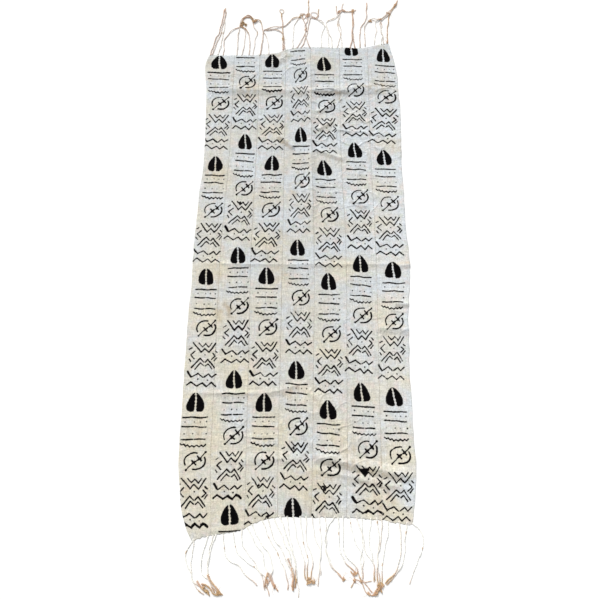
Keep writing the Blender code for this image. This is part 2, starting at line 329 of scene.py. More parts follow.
def stampDepth(a, b, strip, repeat, draw):
    # the deepest of all the marks of one repeat, each stroke a little fuller or thinner than the last
    lobe = list(mudRepeat["lobe"])
    lean = mudRepeat["otherLeans"].get((strip, repeat), mudRepeat["leans"][strip - 1]) * (b - 28)
    cloven = outlineDepth(a - 0.5 * lean, b, lobe + [(-x, y) for x, y in lobe[-2:0:-1]])
    beads = np.sin(b * 0.6 + draw.uniform(0, 6)) + 0.5 * np.sin(b * 1.1 + draw.uniform(0, 6))
    parting = mudRepeat["partingHalf"] + 0.014 * b + 0.85 * beads + 0.9 * easeIn((b - 52) / 8)
    depth = np.minimum(cloven, np.abs(a - lean - 0.5 * np.sin(b * 0.16)) - parting)
    for name, (half, places) in mudRepeat["strokes"].items():
        half = half * mudRepeat["strokeFullness"] * draw.uniform(0.88, 1.12)
        half = half * mudRepeat["heavyStrokes"].get((strip, repeat, name), 1)
        depth = np.maximum(depth, strokeDepth(a, b, half, places))
    for x, y, wide, high, first, last, half in mudRepeat["hoops"].values():
        places = hoopPlaces(x, y, wide, high, first, last)
        depth = np.maximum(depth, strokeDepth(a, b, half * draw.uniform(0.88, 1.15), places))
    for x, y, half in mudRepeat["dots"]:
        depth = np.maximum(depth, half * draw.uniform(0.75, 1.1) - np.hypot(a - x, b - y))
    for inStrip, inRepeat, half, places in mudRepeat["fullerParts"]:
        if (inStrip, inRepeat) == (strip, repeat):
            depth = np.maximum(depth, strokeDepth(a, b, half, places))
    for inStrip, inRepeat, inset, corners in mudRepeat["fillings"]:
        if (inStrip, inRepeat) == (strip, repeat):
            depth = np.maximum(depth, outlineDepth(a, b, list(corners)) - inset)
    return depth


def inkDepth(strip, share, x, y):
    # lays every repeat of the stamp along one strip, with what runs over its seams from the two beside
    # it. The law is across = width u + aside + run v / 430 and down = length v - tilt u, solved here for
    # the chart's own u and v
    depth = np.full_like(share, -8.0)
    for laid in range(max(strip - 1, 0), min(strip + 2, clothPlan["stripCount"])):
        across = (share + strip - laid - 0.5) * mudRepeat["stripWidth"]
        draw = np.random.default_rng(500 + laid)
        for copy, (top, aside, length, run, width, tilt) in enumerate(mudRepeat["places"][laid]):
            down = top - y / mm
            near = (down > -18) & (down < 428) & (np.abs(across) < 72)
            offset, down, run = across[near] - aside, down[near], run / 430
            u = (length * offset - run * down) / (width * length + tilt * run)
            v = (tilt * offset + width * down) / (width * length + tilt * run)
            u, v = u + 0.55 * noiseWaves(u, v, 50, 40 + laid * 9 + copy, 8), (
                v + 0.6 * noiseWaves(u, v, 55, 60 + laid * 9 + copy, 8))
            depth[near] = np.maximum(depth[near], stampDepth(u, v, laid + 1, copy + 1, draw))
    uneven = 0.3 * noiseWaves(x, y, 0.009, 81) + 0.2 * noiseWaves(x, y, 0.03, 82)
    return np.clip(depth + uneven * np.clip(1.2 - np.abs(depth) / 4, 0, 1), -8, 8)


# the fine strips: grid cells across and along each one, and how its surface strays from the folds
wovenStrip = {
    "cellsAcross": 50,
    "underCells": 10,
    "cellsAlong": 864,
    "thickness": 0.0015,
    "seamInset": 0.00005,
    "broadSwell": 0.00045,
    "smallSwell": 0.00022,
    "seamRipple": 0.00045,
    "seamGroove": 0.0008,
    "raggedEnd": 0.0011,
    # x, y, reach and height of the places where the cloth is crumpled
    "crumples": (
        (110, 560, 150, 2.6), (260, 470, 120, 2.0), (215, 190, 150, 1.6), (20, 250, 110, 1.7),
        (60, -520, 130, 2.0), (300, -230, 120, 1.6), (-60, 790, 90, 2.0), (190, -700, 150, 1.9),
        (-220, -640, 150, 1.2), (-320, 640, 90, 1.6), (-230, 60, 110, 1.0), (-300, -330, 140, 1.0),
        (40, -220, 130, 1.0), (330, 700, 80, 2.0), (180, 700, 90, 1.2), (-250, 760, 90, 1.0),
    ),
    # x, y, reach and strength of the ochre spots: real stains, and painted shade beside some creases and at the
    # head's left corner
    "stainsAndShades": (
        (-260, -190, 34, 0.75), (-18, -200, 26, 0.5), (-320, 330, 30, 0.5), (-215, 655, 40, 0.5),
        (-40, 560, 22, 0.5), (-30, 260, 26, 0.5), (-285, 720, 26, 0.35), (-70, -60, 36, 0.3),
        (110, -10, 22, 0.4), (-300, -80, 40, 0.35), (250, 395, 26, 0.35), (-362, -760, 40, 0.4),
        (225, -680, 60, 0.35), (-340, -600, 60, 0.3), (60, -780, 60, 0.25), (270, -800, 44, 0.3),
        (-205, -30, 24, 0.45), (-100, 830, 34, 0.3), (45, -35, 18, 0.3), (-25, -470, 30, 0.35),
        (-366, 800, 22, 0.5), (-355, 700, 30, 0.5), (300, 875, 26, 0.35), (-70, 90, 26, 0.4),
        (165, 110, 24, 0.35), (330, 610, 34, 0.25), (180, -475, 30, 0.3), (-250, -760, 34, 0.3),
        (310, 690, 26, 0.3), (-290, 300, 22, 0.25), (0, -860, 60, 0.2), (150, -660, 40, 0.3),
        (142, 645, 26, 0.5), (265, 672, 40, 0.4), (352, 440, 26, 0.45), (-57, 445, 22, 0.4),
    ),
}


# the sewing of the seams: how often, how far each stitch reaches over, how thick the thread is
seamSewing = {"pitch": 0.0088, "reach": 0.0023, "slant": 0.0024, "radius": 0.00034, "sides": 4, "stations": 5}


def spotField(x, y, spots):
    # the sum of soft round spots exp(-d^2), each of its own reach and strength
    total = np.zeros_like(x)
    for sx, sy, reach, strength in spots:
        total += strength * np.exp(-((x / mm - sx) ** 2 + (y / mm - sy) ** 2) / reach**2)
    return total


def strayHeight(x, y, share):
    # broad and small swells, sharp little ridges where the cloth is crumpled, ripples beside the seams
    swell = wovenStrip["broadSwell"] * noiseWaves(x, y, 0.17, 11)
    swell += wovenStrip["smallSwell"] * noiseWaves(x, y, 0.055, 12)
    creased = np.clip(1 - np.abs(noiseWaves(x, y, 0.12, 13)) / 0.42, 0, 1) ** 2
    creased += 0.6 * np.clip(1 - np.abs(noiseWaves(x, y, 0.06, 14)) / 0.42, 0, 1) ** 2
    crumple = mm * np.minimum(spotField(x, y, wovenStrip["crumples"]), 3.2) * creased
    fromSeam = np.minimum(share, 1 - share) * mudRepeat["stripWidth"] * mm
    ripple = np.sin(2 * np.pi * y / 0.029 + 2.2 * noiseWaves(x, y, 0.12, 15))
    ripple = wovenStrip["seamRipple"] * ripple * np.exp(-fromSeam / 0.014)
    groove = wovenStrip["seamGroove"] * np.exp(-((fromSeam / 0.0016) ** 2))
    return swell + crumple + ripple - groove


def makeMesh(name, places, faceGroups):
    # a mesh from one array of places and arrays of faces that have the same number of corners each
    mesh = bpy.data.meshes.new(name)
    corners = np.concatenate([group.ravel() for group in faceGroups]).astype(np.int32)
    sizes = np.concatenate([np.full(len(group), group.shape[1]) for group in faceGroups])
    mesh.vertices.add(len(places))
    mesh.vertices.foreach_set("co", np.ascontiguousarray(places, np.float32).ravel())
    mesh.loops.add(len(corners))
    mesh.loops.foreach_set("vertex_index", corners)
    mesh.polygons.add(len(sizes))
    starts = np.concatenate([[0], np.cumsum(sizes)[:-1]]).astype(np.int32)
    mesh.polygons.foreach_set("loop_start", starts)
    mesh.update(calc_edges=True)
    mesh.validate()
    mesh.shade_smooth()
    return mesh


def addPiece(mesh, material):
    mesh.materials.append(material)
    piece = bpy.data.objects.new(mesh.name, mesh)
    bpy.context.scene.collection.objects.link(piece)
    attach(piece, "root")
    return piece


def setPointValues(mesh, name, values):
    kind = "FLOAT" if values.ndim == 1 else "FLOAT_VECTOR"
    layer = mesh.attributes.new(name, kind, "POINT")
    layer.data.foreach_set("value" if values.ndim == 1 else "vector", values.astype(np.float32).ravel())


def stripFaces(across, under, along):
    # top cells, underside cells, two long rims, and an end rim whose faces each span several top cells
    top = np.arange((along + 1) * (across + 1)).reshape(along + 1, across + 1)
    low = np.arange((along + 1) * (under + 1)).reshape(along + 1, under + 1) + top.size
    step = across // under
    cells = [top[:-1, :-1], top[:-1, 1:], top[1:, 1:], top[1:, :-1]]
    lowCells = [low[:-1, :-1], low[1:, :-1], low[1:, 1:], low[:-1, 1:]]
    quads = np.stack([c.ravel() for c in cells], 1)
    lowQuads = np.stack([c.ravel() for c in lowCells], 1)
    left = np.stack([top[:-1, 0], top[1:, 0], low[1:, 0], low[:-1, 0]], 1)
    right = np.stack([top[1:, -1], top[:-1, -1], low[:-1, -1], low[1:, -1]], 1)
    cell = np.arange(under)[:, None] * step
    foot = np.concatenate([top[0][cell + np.arange(step, -1, -1)], low[0, :-1, None], low[0, 1:, None]], 1)
    head = np.concatenate([top[-1][cell + np.arange(step + 1)], low[-1, 1:, None], low[-1, :-1, None]], 1)
    return quads, lowQuads, left, right, foot, head


def bakeLayout(mesh, share, along, groups, underFrom):
    # lays the strip out as four lengths side by side with its underside as a fifth, so that its long
    # narrow shape fills the square: u is (length number + share) / 5, v the part of that length
    columns = wovenStrip["cellsAcross"], wovenStrip["underCells"], wovenStrip["cellsAlong"]
    quads, lowQuads, left, right, foot, head = groups
    quarter = columns[2] // 4
    rowOf = np.concatenate([
        np.repeat(np.arange(columns[2]), columns[0]), np.full(len(lowQuads), -1),
        np.arange(columns[2]), np.arange(columns[2]), np.zeros(len(foot)), np.full(len(head), columns[2] - 1),
    ])
    sizes = np.concatenate([np.full(len(g), g.shape[1]) for g in groups])
    corners = np.concatenate([g.ravel() for g in groups])
    length = np.repeat(np.where(rowOf < 0, 4, rowOf // quarter), sizes)
    inside = np.where((corners >= underFrom) & (length < 4), -0.012, 0.0)
    s, t = share[corners], along[corners]
    side = np.where(s < 0.5, inside, -inside)
    u = (length + 0.04 + 0.92 * s + side * ((s == 0) | (s == 1))) / 5
    v = np.where(length < 4, t * 4 - length, t)
    layer = mesh.uv_layers.new(name="OFBake")
    layer.data.foreach_set("uv", np.stack([u, 0.008 + 0.984 * v], 1).astype(np.float32).ravel())


def weaveStrip(strip, material):
    # the strip's top is its fold height plus thickness and stray height; its underside is one thickness
    # lower, but never under the floor
    cells, under, along = wovenStrip["cellsAcross"], wovenStrip["underCells"], wovenStrip["cellsAlong"]
    share = np.linspace(0, 1, cells + 1)[None, :] * np.ones((along + 1, 1))
    part = np.linspace(0, 1, along + 1)[:, None] * np.ones((1, cells + 1))
    x, y = planPlace(strip, share, part)
    z = lyingHeight(x, y, part) + wovenStrip["thickness"] + strayHeight(x, y, share)
    z = np.maximum(z, 0.8 * wovenStrip["thickness"]) * hemThinning(part)
    nearEnd = np.exp(-np.minimum(part, 1 - part) / 0.004)
    ragged = wovenStrip["raggedEnd"] * nearEnd * noiseWaves(x, y * 0, 0.012, 21 + strip, 10)
    outer = np.exp(-np.where(strip == 0, share, 1 - share) / 0.03) * (strip in (0, 6))
    x = x + 0.0005 * outer * noiseWaves(y * 0, y, 0.06, 31 + strip)
    x[:, 0] += wovenStrip["seamInset"]
    x[:, -1] -= wovenStrip["seamInset"]
    y = y + ragged
    every = cells // under
    lowX, lowY = x[:, ::every], y[:, ::every]
    lowZ = np.maximum(z[:, ::every] - wovenStrip["thickness"] - 0.0001, 0)
    top = np.stack([x, y, z], 2).reshape(-1, 3)
    low = np.stack([lowX, lowY, lowZ], 2).reshape(-1, 3)
    groups = stripFaces(cells, under, along)
    mesh = makeMesh(f"woven_strip_{strip + 1}", np.concatenate([top, low]), groups)
    allX, allY = np.concatenate([x.ravel(), lowX.ravel()]), np.concatenate([y.ravel(), lowY.ravel()])
    allShare = np.concatenate([share.ravel(), share[:, ::every].ravel()])
    allPart = np.concatenate([part.ravel(), part[:, ::every].ravel()])
    ink = inkDepth(strip, allShare, allX, allY)
    ink[len(top):] = np.minimum(ink[len(top):] - 1.1, 0.6)
    place = np.stack([(allShare - 0.5) * 0.108, allY, np.full_like(allX, strip * 3.7)], 1)
    edge = np.minimum(allShare, 1 - allShare) * mudRepeat["stripWidth"]
    warm = 0.42 - 0.5 * allY - 0.55 * allX + 0.28 * noiseWaves(allX, allY, 0.2, 91)
    setPointValues(mesh, "clothPlace", place)
    setPointValues(mesh, "inkDepth", ink)
    # a paleness that the tone is multiplied by: higher to both sides, to the right and towards the foot, lower at
    # the right half of the head end
    level, across, sides, foot, headCorner = cottonLook["fading"]
    fading = level + across * allX + sides * allX**2 + foot * easeIn((-0.2 - allY) / 0.4)
    fading -= headCorner * easeIn((allY - 0.45) / 0.35) * easeIn((allX + 0.05) / 0.3)
    setPointValues(mesh, "warmth", np.clip(warm, 0, 1))
    setPointValues(mesh, "fading", fading)
    # an ochre tint along each seam, stronger at every stitch: partly seam dirt, partly painted shade in the seam
    # groove
    seamDirtAndShade = 0.12 + 0.1 * np.sin(2 * np.pi * allY / seamSewing["pitch"]) + 0.08 * noiseWaves(allX, allY, 0.2, 93)
    # one point attribute holds the real stains, the painted shade beside the folds and the partly painted shade
    # along the seams, all laid as ochre
    setPointValues(mesh, "stain", np.clip(
        spotField(allX, allY, wovenStrip["stainsAndShades"]) * (0.7 + 0.5 * noiseWaves(allX, allY, 0.03, 92))
        + 0.7 * foldShade(allX, allY) + seamDirtAndShade * np.exp(-edge / 1.4), 0, 1))
    bakeLayout(mesh, allShare, allPart, groups, len(top))
    piece = addPiece(mesh, material)
    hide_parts(f"strip_{strip + 1}")
    return piece


# colours and sizes of the handspun cotton, with the mud's black on it
cottonLook = {
    "coolCotton": (0.70, 0.742, 0.775),
    "plainCotton": (0.705, 0.695, 0.652),
    "warmCotton": (0.765, 0.71, 0.565),
    "pinkTint": (0.79, 0.66, 0.61),
    "greenTint": (0.62, 0.67, 0.55),
    "blueTint": (0.70, 0.75, 0.82),
    # how pale the middle is, how much that grows across, to both sides and to the foot, and less at a corner
    "fading": (0.973, 0.074, 0.46, 0.016, 0.055),
    # ochre for the real stains, and for the painted shade beside the folds and along the seams
    "ochre": (0.50, 0.38, 0.22),
    "mud": (0.0020, 0.0018, 0.0024),
    "thinMud": (0.048, 0.042, 0.037),
    "warpPitch": 0.00125,
    "weftPitch": 0.0015,
    "bumpHeight": 0.0007,
}


def newMaterial(name):
    material = bpy.data.materials.new(name)
    material.use_nodes = True
    return material, material.node_tree, material.node_tree.nodes["Principled BSDF"]


def shaderTools(tree):
    # short ways to add the nodes that every finish here uses; each gives its output socket
    def add(kind, inputs=(), **settings):
        node = tree.nodes.new("ShaderNode" + kind)
        for key, value in settings.items():
            setattr(node, key, value)
        for slot, value in inputs:
            if isinstance(value, bpy.types.NodeSocket):
                tree.links.new(value, node.inputs[slot])
            else:
                node.inputs[slot].default_value = value
        return node

    def calc(operation, *values, clamp=False):
        return add("Math", list(enumerate(values)), operation=operation, use_clamp=clamp).outputs[0]

    def blend(share, first, second, mode="MIX"):
        node = add("Mix", [(0, share), (6, first), (7, second)], data_type="RGBA", blend_type=mode)
        return node.outputs[2]

    def spread(value, low, high, toLow=0.0, toHigh=1.0):
        return add("MapRange", [(0, value), (1, low), (2, high), (3, toLow), (4, toHigh)]).outputs[0]

    def noise(vector, scale, detail=2.0, rough=0.5):
        node = add("TexNoise", [("Vector", vector), ("Scale", scale), ("Detail", detail), ("Roughness", rough)])
        return node.outputs["Fac"]

    def stretched(vector, scale):
        return add("VectorMath", [(0, vector), (1, scale)], operation="MULTIPLY").outputs[0]

    def attribute(name, output="Fac"):
        return add("Attribute", attribute_name=name).outputs[output]

    return add, calc, blend, spread, noise, stretched, attribute


def rgba(name, look):
    return (*look[name], 1.0)


def makeCotton():
    # plain weave from two crossing sines, uneven threads from long thin noise, and mud where inkDepth
    # is above nought, with an edge that follows the threads
    look = cottonLook
    material, tree, shader = newMaterial("handspun_cotton")
    add, calc, blend, spread, noise, stretched, attribute = shaderTools(tree)
    place = attribute("clothPlace", "Vector")
    parts = add("SeparateXYZ", [(0, place)]).outputs
    warpSlub = noise(stretched(place, (620, 34, 1)), 1.0, 3.0, 0.6)
    weftSlub = noise(stretched(place, (30, 560, 1)), 1.0, 3.0, 0.6)
    drift = noise(place, 60.0, 2.0)
    warp = calc("ADD", calc("DIVIDE", parts[0], look["warpPitch"]), calc("MULTIPLY", drift, 1.3))
    weft = calc("ADD", calc("DIVIDE", parts[1], look["weftPitch"]), calc("MULTIPLY", drift, 1.7))
    warpSine = calc("SINE", calc("MULTIPLY", warp, np.pi))
    weftSine = calc("SINE", calc("MULTIPLY", weft, np.pi))
    over = spread(calc("MULTIPLY", warpSine, weftSine), -0.5, 0.5)
    warpRound = calc("MULTIPLY", calc("ABSOLUTE", warpSine), spread(over, 0, 1, 0.35, 1.0))
    weftRound = calc("MULTIPLY", calc("ABSOLUTE", weftSine), spread(over, 0, 1, 1.0, 0.35))
    weave = calc("MAXIMUM", warpRound, weftRound)
    slub = calc("ADD", calc("MULTIPLY", warpSlub, 0.5), calc("MULTIPLY", weftSlub, 0.5))
    mottle = noise(place, 34.0, 4.0, 0.65)

    patchy = calc("SUBTRACT", mottle, 0.5)
    warmth = attribute("warmth")
    ground = blend(
        spread(calc("ADD", warmth, calc("MULTIPLY", patchy, 1.3)), 0.0, 0.5),
        rgba("coolCotton", look), rgba("plainCotton", look))
    ground = blend(
        spread(calc("ADD", warmth, calc("MULTIPLY", patchy, 1.0)), 0.5, 1.15),
        ground, rgba("warmCotton", look))
    for tint, size, share in (("pinkTint", 37.0, 0.52), ("greenTint", 46.0, 0.52), ("blueTint", 29.0, 0.42)):
        ground = blend(spread(noise(place, size, 3.0, 0.6), 0.52, 0.70, 0.0, share), ground, rgba(tint, look))
    # ochre mask from that point attribute: real stains plus painted shade beside the folds and along the seams
    stainAndShadeMask = spread(noise(place, 90.0, 3.0), 0.3, 0.7, 0.35, 0.8)
    stainAndShadeMask = calc("MULTIPLY", attribute("stain"), stainAndShadeMask, clamp=True)
    ground = blend(stainAndShadeMask, ground, rgba("ochre", look))
    along = noise(stretched(place, (300, 28, 1)), 1.0, 2.0)
    streak = calc("ADD", noise(stretched(place, (28, 300, 1)), 1.0, 2.0), along)
    streak = calc("ADD", calc("MULTIPLY", streak, 0.5), calc("MULTIPLY", noise(place, 230.0, 3.0, 0.7), 1.2))
    # the weave term is painted shade between the threads and a little painted light on their tops; slub, streak
    # and noise are the yarn's own uneven tone
    shade = calc("MULTIPLY", spread(slub, 0.32, 0.68, 0.82, 1.10), spread(weave, 0.2, 0.95, 0.88, 1.04))
    shade = calc("MULTIPLY", shade, spread(streak, 0.78, 1.42, 0.75, 1.25))
    shade = calc("MULTIPLY", shade, spread(noise(place, 105.0, 2.0), 0.3, 0.7, 0.925, 1.075))
    shade = calc("MULTIPLY", shade, attribute("fading"))
    ground = blend(1.0, ground, add("CombineColor", [(0, shade), (1, shade), (2, shade)]).outputs[0], "MULTIPLY")

    ragged = calc("MULTIPLY", calc("SUBTRACT", slub, 0.5), 3.0)
    ragged = calc("ADD", ragged, calc("MULTIPLY", calc("SUBTRACT", noise(place, 700.0, 2.0), 0.5), 1.2))
    depth = calc("ADD", attribute("inkDepth"), ragged)
    ink = spread(depth, -0.45, 0.35)
    halo = calc("MULTIPLY", spread(depth, -2.4, 0.2), 0.14)
    thin = calc("MULTIPLY", spread(noise(place, 150.0, 3.0, 0.6), 0.46, 0.72), spread(weave, 0.9, 0.35, 0.35, 1.0))
    thin = calc("MULTIPLY", thin, spread(attribute("inkDepth"), 1.6, 4.0, 1.0, 0.12))
    mud = blend(thin, rgba("mud", look), rgba("thinMud", look))
    colour = blend(halo, ground, rgba("thinMud", look))
    tree.links.new(blend(ink, colour, mud), shader.inputs["Base Color"])

    height = calc("ADD", weave, calc("MULTIPLY", slub, 1.6))
    bump = add("Bump", [("Strength", 0.55), ("Distance", look["bumpHeight"]), ("Height", height)])
    tree.links.new(bump.outputs[0], shader.inputs["Normal"])
    shader.inputs["Roughness"].default_value = 0.95
    shader.inputs["Specular IOR Level"].default_value = 0.04
    return material


# the loose warp ends: how thick and how tightly plied, and the courses they take from root to tip
yarn = {
    "sides": 5,
    "step": 0.0018,
    "plyRadius": 0.00093,
    "plyApart": 0.00080,
    "bundleFrom": 1.5,
    "bundlePlies": 5,
    "bundlePly": 0.55,
    "twist": 0.0095,
    "splayReach": 0.010,
    "splay": 0.0011,
    "knotRadius": 0.00125,
    "strayHairs": 4,
}
# how thick, how brown at the root and at the tip, then the places of each course
footCourses = (
    (1.0, 0.0, 0.7, ((-327, -925), (-347, -951), (-348, -980), (-334, -1008), (-317, -1041), (-281, -1069))),
    (0.9, 0.1, 0.5, ((-326, -925), (-330, -968), (-331, -1008), (-316, -1052), (-284, -1077))),
    (1.0, 0.0, 0.9, ((-283, -916), (-297, -951), (-301, -979), (-297, -1013), (-277, -1035), (-254, -1068))),
    (0.9, 0.1, 1.0, ((-267, -913), (-277, -950), (-281, -996), (-271, -1030), (-247, -1063), (-229, -1077))),
    (1.0, 0.0, 0.9, ((-258, -910), (-272, -950), (-279, -990), (-278, -1024), (-258, -1057), (-235, -1078))),
    (1.0, 0.1, 0.4, ((-236, -907), (-230, -950), (-215, -978), (-183, -995), (-164, -1017), (-126, -1051))),
    (1.0, 0.0, 0.5, ((-205, -904), (-198, -938), (-181, -967), (-140, -995), (-115, -1017), (-101, -1061))),
    (0.9, 0.1, 0.6, ((-178, -892), (-173, -938), (-140, -978), (-115, -1011), (-102, -1028), (-89, -1081))),
    (1.0, 0.0, 0.8, ((-162, -889), (-136, -926), (-113, -960), (-103, -994), (-87, -1025), (-98, -1056))),
    (1.1, 0.0, 0.9, ((-147, -880), (-123, -920), (-91, -960), (-81, -1000), (-84, -1022), (-61, -1064))),
    (1.0, 0.1, 0.5, ((-115, -868), (-92, -914), (-67, -954), (-47, -994), (-34, -1027), (-31, -1061))),
    (1.1, 0.1, 0.7, ((-97, -865), (-77, -914), (-48, -954), (-35, -988), (-16, -1022), (-19, -1061))),
    (1.3, 0.0, 1.0, ((-78, -862), (-49, -914), (-29, -960), (-16, -1010), (-13, -1058))),
    (1.3, 0.0, 1.0, ((-59, -858), (-39, -908), (-17, -965), (-7, -1010), (-10, -1055))),
    (0.9, 0.0, 0.2, ((-37, -855), (-27, -914), (-10, -976), (-4, -1022), (3, -1081))),
    (1.0, 0.0, 0.8, ((-18, -855), (-5, -913), (14, -970), (21, -1032))),
    (1.0, 0.0, 0.9, ((4, -855), (14, -919), (27, -976), (30, -1032))),
    (1.0, 0.1, 0.9, ((23, -855), (26, -919), (42, -976), (39, -1032))),
    (0.9, 0.1, 0.4, ((42, -855), (51, -907), (67, -947), (64, -1010), (61, -1049))),
    (0.9, 0.0, 0.3, ((64, -854), (70, -918), (67, -976), (70, -1021))),
    (1.0, 0.1, 0.8, ((83, -854), (86, -907), (86, -953), (101, -992), (138, -1029))),
    (1.0, 0.0, 0.7, ((114, -854), (86, -895), (86, -947), (113, -1004), (144, -1031))),
    (1.1, 0.0, 1.0, ((124, -857), (126, -918), (132, -958), (156, -992), (181, -1011))),
    (1.0, 0.0, 0.8, ((139, -854), (139, -912), (141, -952), (175, -992), (193, -1031))),
    (0.9, 0.0, 0.6, ((158, -853), (173, -912), (197, -957), (199, -1008), (196, -1031))),
    (1.0, 0.1, 0.8, ((180, -853), (201, -906), (207, -946), (231, -985), (233, -1036))),
    (0.9, 0.0, 0.8, ((199, -856), (198, -917), (194, -974), (199, -1031), (229, -1064))),
    (1.0, 0.0, 0.8, ((227, -859), (220, -917), (231, -974), (236, -1030))),
    (1.0, 0.1, 1.0, ((246, -858), (251, -917), (243, -974), (251, -1030), (244, -1064))),
    (1.2, 0.2, 1.0, ((261, -858), (257, -917), (245, -963), (243, -1008), (247, -1058))),
    (1.0, 0.0, 1.0, ((281, -867), (276, -916), (262, -968), (258, -1019), (254, -1053))),
    (1.2, 0.2, 0.9, ((315, -867), (320, -910), (315, -962), (298, -1007), (266, -1041))),
    (1.0, 0.1, 0.9, ((340, -869), (332, -916), (327, -962), (307, -1007), (269, -1044))),
    (0.9, 0.0, 0.3, ((356, -872), (382, -889), (388, -915), (378, -956), (357, -1001), (341, -1042))),
    (1.1, 0.8, 0.9, ((161, -1012), (172, -1017), (185, -1007))),
    (0.9, 0.7, 0.9, ((164, -1016), (174, -1031), (161, -1052))),
    (0.7, 0.6, 0.6, ((174, -1034), (191, -1033), (208, -1036), (226, -1033))),
    (0.9, 0.7, 0.9, ((193, -1036), (204, -1057), (214, -1068), (228, -1072), (238, -1060))),
    (1.8, 0.8, 1.0, ((-311, -1044), (-295, -1056), (-279, -1067), (-270, -1078))),
    (2.1, 0.8, 1.0, ((-279, -1026), (-266, -1042), (-252, -1057), (-236, -1075))),
    (1.4, 0.9, 1.0, ((-296, -1052), (-282, -1050), (-268, -1060), (-256, -1072), (-240, -1077))),
    (1.6, 0.8, 0.9, ((-94, -1019), (-99, -1034), (-101, -1052))),
    (1.8, 0.7, 1.0, ((-96, -1021), (-84, -1034), (-70, -1054))),
    (2.0, 0.5, 1.0, ((-33, -978), (-22, -996), (-15, -1018), (-14, -1042), (-15, -1060))),
    (2.2, 0.8, 1.0, ((-20, -1004), (-15, -1022), (-17, -1042), (-14, -1060))),
    (1.5, 0.8, 1.0, ((255, -1054), (246, -1062), (236, -1071), (222, -1074))),
)
headCourses = (
    (1.1, 0.5, 0.8, ((-360, 825), (-349, 872), (-328, 937), (-313, 1034))),
    (1.0, 0.4, 0.8, ((-354, 826), (-336, 882), (-320, 937), (-308, 1020))),
    (1.0, 0.2, 0.7, ((-331, 829), (-318, 891), (-310, 964), (-309, 1039))),
    (1.0, 0.4, 0.9, ((-310, 825), (-307, 891), (-281, 932), (-250, 951), (-231, 970))),
    (1.2, 0.3, 1.1, (
        (-257, 826), (-256, 901), (-251, 947), (-245, 976), (-232, 998), (-219, 1004), (-205, 994), (-197, 980),
    )),
    (1.1, 1.0, 1.0, ((-247, 962), (-240, 981), (-228, 994), (-212, 997), (-201, 984))),
    (1.0, 0.3, 1.0, ((-238, 827), (-228, 892), (-230, 937), (-246, 956))),
    (1.1, 0.4, 1.0, ((-210, 829), (-209, 892), (-222, 938), (-242, 947))),
    (0.9, 0.3, 1.0, ((-195, 827), (-189, 883), (-182, 920), (-199, 965), (-180, 980))),
    (1.1, 0.5, 1.0, ((-165, 831), (-161, 892), (-160, 938), (-169, 975), (-192, 984))),
    (1.2, 0.4, 0.7, (
        (-168, 827), (-158, 901), (-155, 934), (-120, 948), (-72, 957), (-41, 990), (-10, 995),
    )),
    (0.9, 0.2, 0.4, ((-133, 831), (-138, 883), (-150, 920), (-158, 924))),
    (1.0, 0.5, 0.5, ((-71, 857), (-80, 920), (-107, 937), (-147, 938))),
    (1.3, 0.7, 0.9, ((-78, 852), (-79, 893), (-82, 966), (-87, 1014))),
    (0.9, 0.2, 0.6, ((-40, 862), (-37, 948), (-21, 990), (6, 1014))),
    (1.0, 0.4, 0.7, ((-24, 862), (-1, 903), (11, 949), (-2, 995), (-10, 1009))),
    (1.0, 0.5, 0.8, ((-8, 862), (7, 894), (19, 940), (26, 991), (54, 996), (62, 1038))),
    (1.1, 0.4, 0.8, ((27, 862), (11, 903), (7, 949), (18, 995), (20, 1042), (19, 1080))),
    (0.8, 0.1, 0.5, ((70, 865), (71, 913), (82, 959), (70, 982), (38, 991))),
    (0.8, 0.1, 0.5, ((101, 863), (97, 913), (86, 959), (54, 991), (30, 1005))),
    (1.0, 0.2, 0.9, (
        (113, 863), (109, 904), (90, 973), (129, 996), (149, 1024), (181, 1025), (209, 1032),
    )),
    (0.9, 0.3, 0.6, ((132, 863), (147, 922), (141, 978), (132, 1024), (131, 1052))),
    (0.9, 0.2, 0.6, ((152, 863), (147, 913), (135, 968), (149, 1024), (160, 1062))),
    (1.3, 0.6, 0.9, ((183, 861), (191, 905), (194, 969), (193, 1025))),
    (1.3, 0.6, 0.9, ((203, 861), (195, 905), (196, 969), (195, 1029))),
    (1.1, 0.5, 0.8, ((222, 867), (223, 932), (232, 960), (248, 997), (252, 1068))),
    (1.1, 0.3, 1.0, (
        (242, 873), (241, 923), (243, 960), (268, 988), (303, 990), (324, 1007), (348, 1026), (376, 1080),
    )),
    (0.9, 0.2, 0.9, ((277, 880), (286, 933), (283, 979), (303, 988), (332, 1017), (365, 1059))),
    (0.9, 0.1, 0.5, ((305, 880), (310, 933), (307, 979))),
    (1.2, 0.8, 0.9, ((328, 884), (331, 942), (338, 998), (344, 1021))),
    (1.0, 0.3, 1.0, ((316, 881), (306, 942), (306, 979), (344, 1021), (365, 1054), (373, 1078))),
)
# x, y, half width, half length, height, how brown, and turns of each matted knot
footKnots = (
    (-279, -1066, 6, 6, 6, 0.95, 7), (-243, -1071, 6, 6, 6, 1.0, 7), (-290, -1056, 5, 5, 5, 0.9, 5),
    (-96, -1038, 3, 6, 4, 0.9, 5), (-73, -1050, 4, 7, 5, 0.9, 6), (-16, -1020, 3, 11, 5, 0.9, 7),
    (-16, -1042, 4, 13, 6, 1.0, 8), (34, -1035, 10, 10, 6, 0.85, 11), (47, -1037, 5, 7, 5, 0.8, 6),
    (139, -1029, 5, 6, 4, 0.75, 5), (176, -1013, 7, 3, 4, 0.9, 5), (173, -1033, 4, 6, 4, 0.85, 5),
    (193, -1034, 5, 5, 4, 0.8, 5), (215, -1068, 5, 5, 5, 0.8, 5), (247, -1053, 9, 15, 8, 1.0, 15),
    (237, -1066, 6, 7, 6, 0.95, 7), (257, -1044, 6, 7, 6, 0.9, 6),
)
